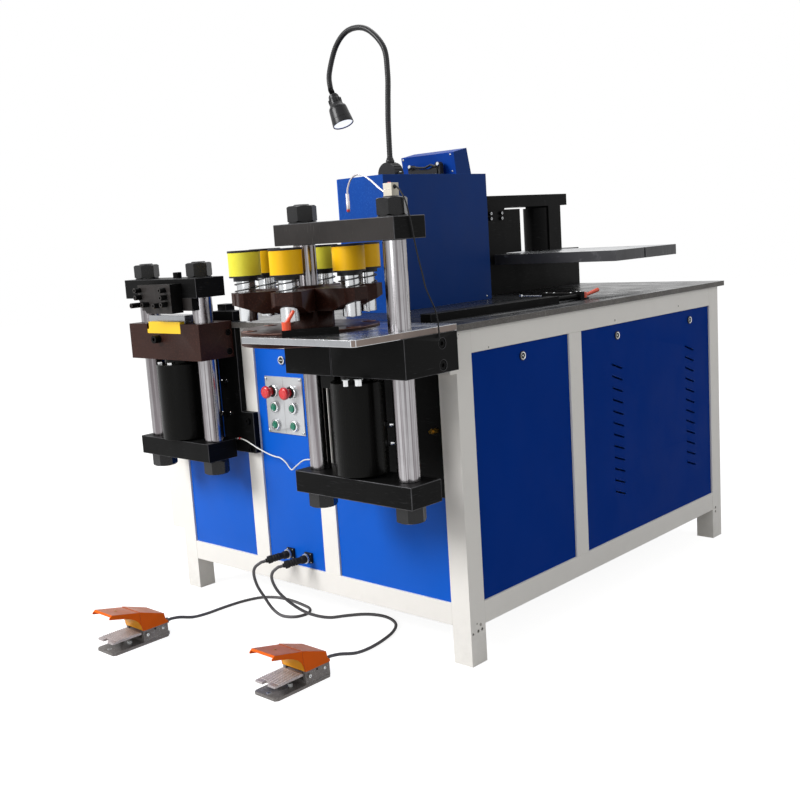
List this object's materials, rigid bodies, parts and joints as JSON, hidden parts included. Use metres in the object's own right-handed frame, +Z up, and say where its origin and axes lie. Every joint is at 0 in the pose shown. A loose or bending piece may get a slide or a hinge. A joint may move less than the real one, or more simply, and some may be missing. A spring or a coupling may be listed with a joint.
{
  "type": "busbar bending machine",
  "caption": "Hydraulic busbar machine: cabinet with shear, turret punch and bender stations, electric box, work lamp and foot switches on cords.",
  "frame": {"origin": "centre of the cabinet footprint on the floor, which is the centre of the four holes in the leg plates", "axes": "+Z up, -Y towards the operator (front, with shear and punch), +X to the operator's right (punch side)"},
  "size_m": [1.2998, 1.912, 1.7168],
  "materials": {
    "white_paint": "satin",
    "blue_paint": "satin",
    "table_grey": "satin",
    "black_steel": "satin",
    "brown_paint": "satin",
    "ground_steel": "ground",
    "chrome": "polished",
    "unit_grey": "satin",
    "alu_plate": "brushed",
    "orange": "satin",
    "orange_metal": "gloss",
    "cast_grey": "cast",
    "rubber_black": "matt",
    "white_plastic": "matt",
    "tool_yellow": "pad and steel shank",
    "red_plastic": "gloss",
    "green_plastic": "gloss",
    "lamp_black": "matt"
  },
  "bodies": {
    "base": {"frame_uprights": "white_paint", "frame_rails": "white_paint", "frame_fittings": "white_paint", "table_top": "table_grey", "fixed_panels": "blue_paint", "inner_units": "unit_grey", "punch_block": "black_steel", "punch_plate": "ground_steel", "cylinder_barrels": "black_steel", "shear_block": "brown_paint", "shear_lower_tools": "ground_steel", "shear_back_plate": "black_steel", "fixings": "black_steel", "panel_fittings": "alu_plate", "electric_box": "blue_paint", "box_fittings": "lamp_black", "bend_frame": "black_steel", "bend_plate": "ground_steel", "guide_rail": "black_steel", "pedal_bases": "cast_grey", "pedal_hoods": "orange", "cord_left": "rubber_black", "cord_right": "rubber_black", "cord_plugs": "rubber_black", "thin_leads": "white_plastic"},
    "punch_ram": {"punch_yoke": "black_steel", "punch_columns": "chrome", "sensor": "white_plastic"},
    "shear_ram": {"shear_yoke": "black_steel", "shear_columns": "chrome", "blade_holder": "black_steel"},
    "turret": {"turret_star": "brown_paint", "turret_disc": "brown_paint", "punch_springs": "black_steel"},
    "index_lever": {"turret_lever": "orange_metal"},
    "panel_side_front": {"side_panel_front": "blue_paint"},
    "lock_a": {"lock_side": "black_steel"},
    "panel_side_rear": {"side_panel_rear": "blue_paint"},
    "lock_b": {"lock_rear_1": "black_steel"},
    "lock_c": {"lock_rear_2": "black_steel"},
    "estop_left": {"estop_1": "red_plastic"},
    "estop_right": {"estop_2": "red_plastic"},
    "green_1": {"button_1": "green_plastic"},
    "green_2": {"button_2": "green_plastic"},
    "green_3": {"button_3": "green_plastic"},
    "green_4": {"button_4": "green_plastic"},
    "box_door": {"electric_door": "blue_paint"},
    "lamp": {"lamp_arm": "lamp_black", "lamp_head": "lamp_black"},
    "bender_ram": {"bend_ram": "black_steel"},
    "gauge": {"gauge_rod": "black_steel"},
    "gauge_handle": {"gauge_lever": "orange_metal"},
    "treadle_left": {"treadle_1": "cast_grey"},
    "treadle_right": {"treadle_2": "cast_grey"},
    "tool_1": {"punch_tool_1": "tool_yellow"},
    "tool_2": {"punch_tool_2": "tool_yellow"},
    "tool_3": {"punch_tool_3": "tool_yellow"},
    "tool_4": {"punch_tool_4": "tool_yellow"},
    "tool_5": {"punch_tool_5": "tool_yellow"},
    "tool_6": {"punch_tool_6": "tool_yellow"}
  },
  "joints": [
    {"name": "punch_press", "type": "slide", "parent": "base", "child": "punch_ram", "axis": [0, 0, -1], "range_m": [0, 0.02]},
    {"name": "shear_press", "type": "slide", "parent": "base", "child": "shear_ram", "axis": [0, 0, -1], "range_m": [0, 0.025]},
    {"name": "turret_turn", "type": "hinge", "parent": "base", "child": "turret", "pos_m": [0.279, -0.865, 0], "axis": [0, 0, 1], "continuous": true},
    {"name": "index_lever_turn", "type": "hinge", "parent": "base", "child": "index_lever", "pos_m": [0.38346, -1.03545, 0.9], "axis": [0, 0, 1], "range_deg": [-60, 60]},
    {"name": "tool_1_press", "type": "slide", "parent": "turret", "child": "tool_1", "axis": [0, 0, -1], "range_m": [0, 0.02], "stiffness_N_per_m": 3000, "springref_m": -0.02, "deforming": ["punch_springs"]},
    {"name": "tool_2_press", "type": "slide", "parent": "turret", "child": "tool_2", "axis": [0, 0, -1], "range_m": [0, 0.02], "stiffness_N_per_m": 3000, "springref_m": -0.02, "deforming": ["punch_springs"]},
    {"name": "tool_3_press", "type": "slide", "parent": "turret", "child": "tool_3", "axis": [0, 0, -1], "range_m": [0, 0.02], "stiffness_N_per_m": 3000, "springref_m": -0.02, "deforming": ["punch_springs"]},
    {"name": "tool_4_press", "type": "slide", "parent": "turret", "child": "tool_4", "axis": [0, 0, -1], "range_m": [0, 0.02], "stiffness_N_per_m": 3000, "springref_m": -0.02, "deforming": ["punch_springs"]},
    {"name": "tool_5_press", "type": "slide", "parent": "turret", "child": "tool_5", "axis": [0, 0, -1], "range_m": [0, 0.02], "stiffness_N_per_m": 3000, "springref_m": -0.02, "deforming": ["punch_springs"]},
    {"name": "tool_6_press", "type": "slide", "parent": "turret", "child": "tool_6", "axis": [0, 0, -1], "range_m": [0, 0.02], "stiffness_N_per_m": 3000, "springref_m": -0.02, "deforming": ["punch_springs"]},
    {"name": "panel_front_tilt", "type": "hinge", "parent": "base", "child": "panel_side_front", "pos_m": [0.595, -0.415, 0.16], "axis": [0, 1, 0], "range_deg": [0, 20]},
    {"name": "panel_rear_tilt", "type": "hinge", "parent": "base", "child": "panel_side_rear", "pos_m": [0.595, 0.245, 0.16], "axis": [0, 1, 0], "range_deg": [0, 20]},
    {"name": "lock_a_turn", "type": "hinge", "parent": "panel_side_front", "child": "lock_a", "pos_m": [0.595, -0.414, 0.766], "axis": [1, 0, 0], "range_deg": [0, 90]},
    {"name": "lock_b_turn", "type": "hinge", "parent": "panel_side_rear", "child": "lock_b", "pos_m": [0.595, 0.055, 0.766], "axis": [1, 0, 0], "range_deg": [0, 90]},
    {"name": "lock_c_turn", "type": "hinge", "parent": "panel_side_rear", "child": "lock_c", "pos_m": [0.595, 0.498, 0.766], "axis": [1, 0, 0], "range_deg": [0, 90]},
    {"name": "estop_left_push", "type": "slide", "parent": "base", "child": "estop_left", "axis": [0, 1, 0], "range_m": [0, 0.006]},
    {"name": "estop_right_push", "type": "slide", "parent": "base", "child": "estop_right", "axis": [0, 1, 0], "range_m": [0, 0.006]},
    {"name": "green_1_push", "type": "slide", "parent": "base", "child": "green_1", "axis": [0, 1, 0], "range_m": [0, 0.004], "stiffness_N_per_m": 900, "springref_m": -0.001},
    {"name": "green_2_push", "type": "slide", "parent": "base", "child": "green_2", "axis": [0, 1, 0], "range_m": [0, 0.004], "stiffness_N_per_m": 900, "springref_m": -0.001},
    {"name": "green_3_push", "type": "slide", "parent": "base", "child": "green_3", "axis": [0, 1, 0], "range_m": [0, 0.004], "stiffness_N_per_m": 900, "springref_m": -0.001},
    {"name": "green_4_push", "type": "slide", "parent": "base", "child": "green_4", "axis": [0, 1, 0], "range_m": [0, 0.004], "stiffness_N_per_m": 900, "springref_m": -0.001},
    {"name": "box_door_swing", "type": "hinge", "parent": "base", "child": "box_door", "pos_m": [-0.057, 0.07, 0], "axis": [0, 0, -1], "range_deg": [0, 100]},
    {"name": "lamp_swivel", "type": "hinge", "parent": "base", "child": "lamp", "pos_m": [0.075, -0.315, 1.271], "axis": [0, 0, 1], "range_deg": [-120, 120]},
    {"name": "bender_press", "type": "slide", "parent": "base", "child": "bender_ram", "axis": [0, 1, 0], "range_m": [-0.03, 0.02]},
    {"name": "gauge_slide", "type": "slide", "parent": "base", "child": "gauge", "axis": [0.0593, 0.9982, 0], "range_m": [0, 0.15]},
    {"name": "gauge_handle_turn", "type": "hinge", "parent": "gauge", "child": "gauge_handle", "pos_m": [0.50838, 0.01883, 0.9], "axis": [0, 0, 1], "range_deg": [-90, 90]},
    {"name": "treadle_left_press", "type": "hinge", "parent": "base", "child": "treadle_left", "pos_m": [-0.31, -1.078, 0.028], "axis": [1, 0, 0], "range_deg": [0, 10], "stiffness_Nm_per_rad": 4, "springref_deg": -6.88},
    {"name": "treadle_right_press", "type": "hinge", "parent": "base", "child": "treadle_right", "pos_m": [0.291, -1.008, 0.028], "axis": [1, 0, 0], "range_deg": [0, 10], "stiffness_Nm_per_rad": 4, "springref_deg": -6.88}
  ],
  "couplings": [
    {"joint": "tool_1_press", "follows": "punch_press", "ratio": 1}
  ]
}
